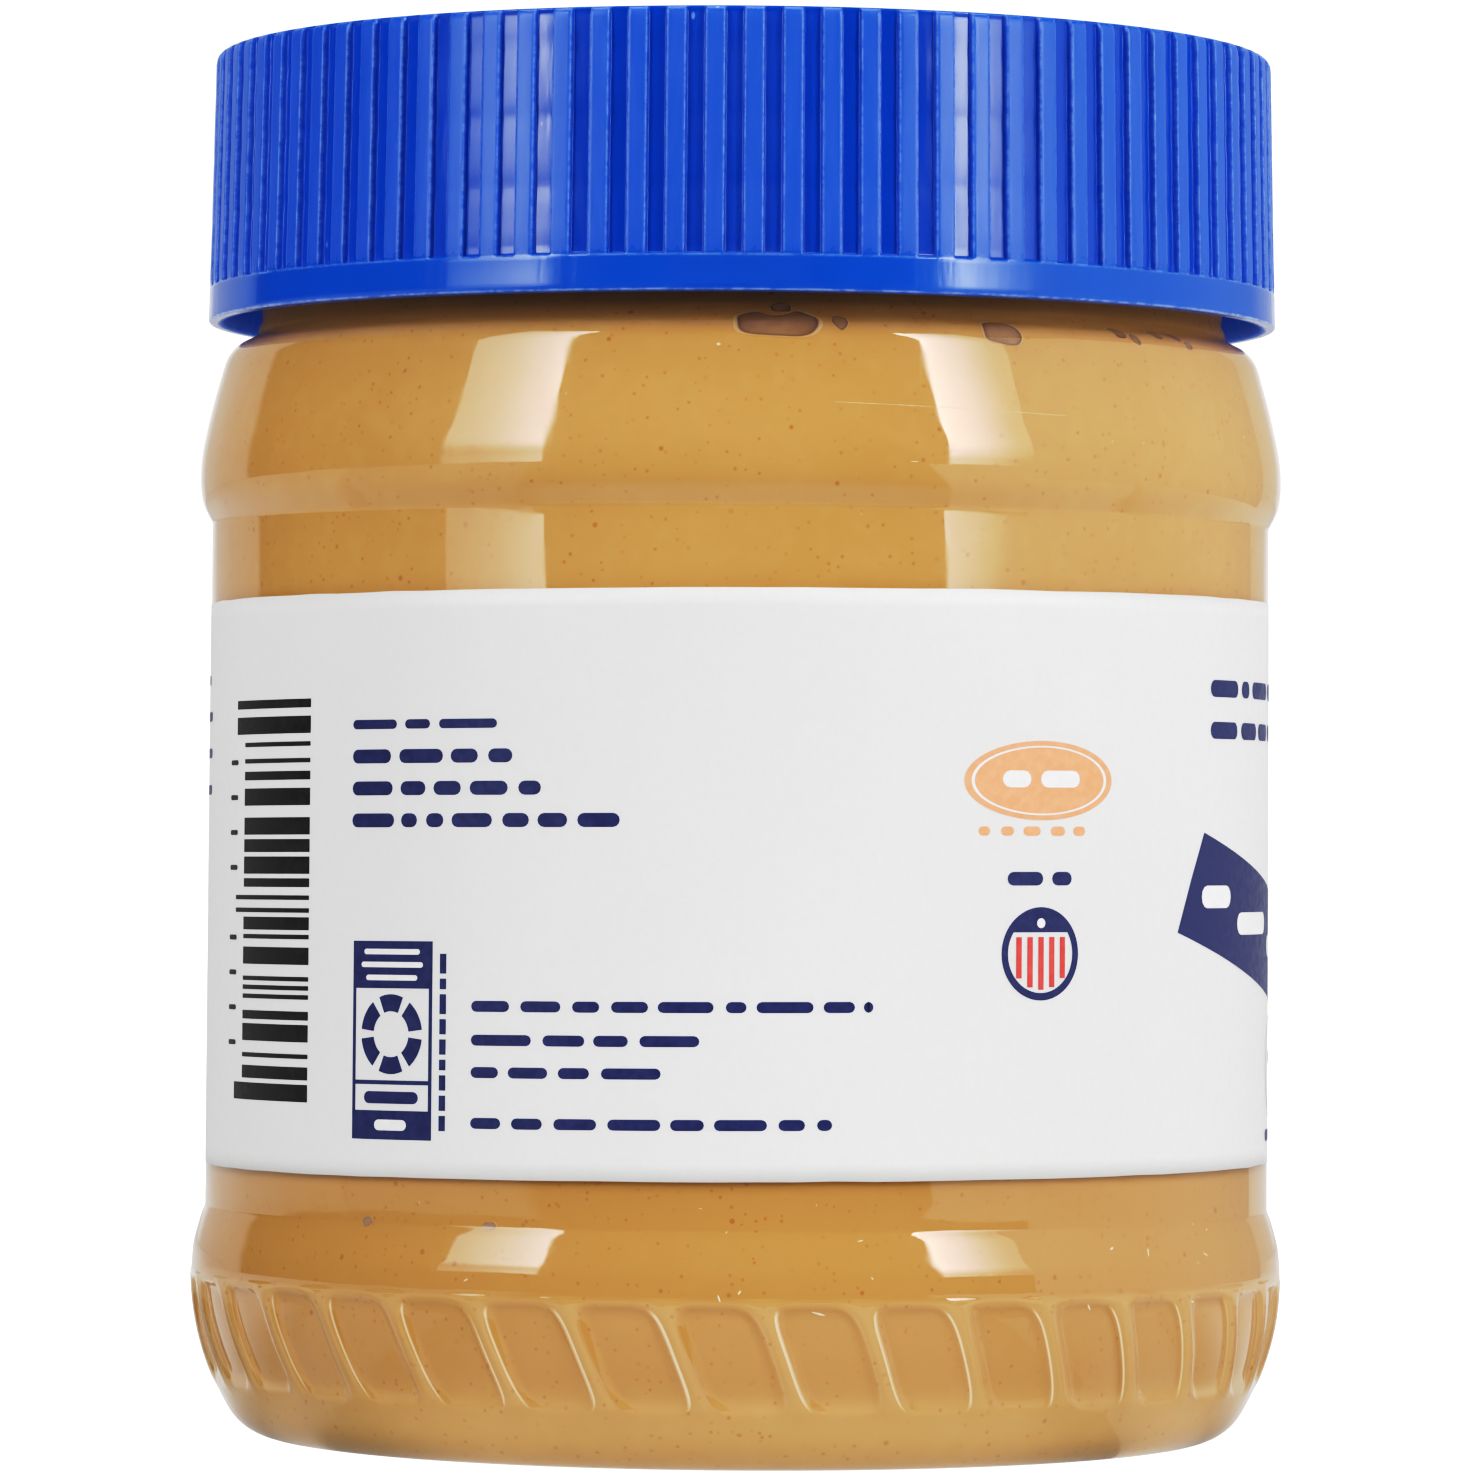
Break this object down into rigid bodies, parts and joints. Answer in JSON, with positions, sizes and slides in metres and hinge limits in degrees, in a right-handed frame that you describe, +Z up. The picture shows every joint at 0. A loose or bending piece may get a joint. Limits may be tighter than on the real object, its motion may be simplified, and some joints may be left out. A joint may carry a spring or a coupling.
{
  "type": "jar of peanut butter",
  "caption": "Short round clear plastic jar full of peanut butter, with a fluted heel, a paper wrap label and a ribbed blue screw cap.",
  "frame": {"origin": "centre of the plane that the jar stands on", "axes": "+Z up along the jar's axis, towards the cap; the side shown in the picture faces -Y and its right is +X"},
  "size_m": [0.075, 0.075, 0.095],
  "materials": {
    "clear_plastic": "clear glossy plastic",
    "peanut_butter": "smooth paste, seen through the jar",
    "label_paper": "satin white wrap label",
    "cap_blue": "moulded blue plastic"
  },
  "bodies": {
    "root": {"jar": "clear_plastic", "peanut_butter": "peanut_butter", "label": "label_paper", "cap": "cap_blue"}
  },
  "joints": []
}
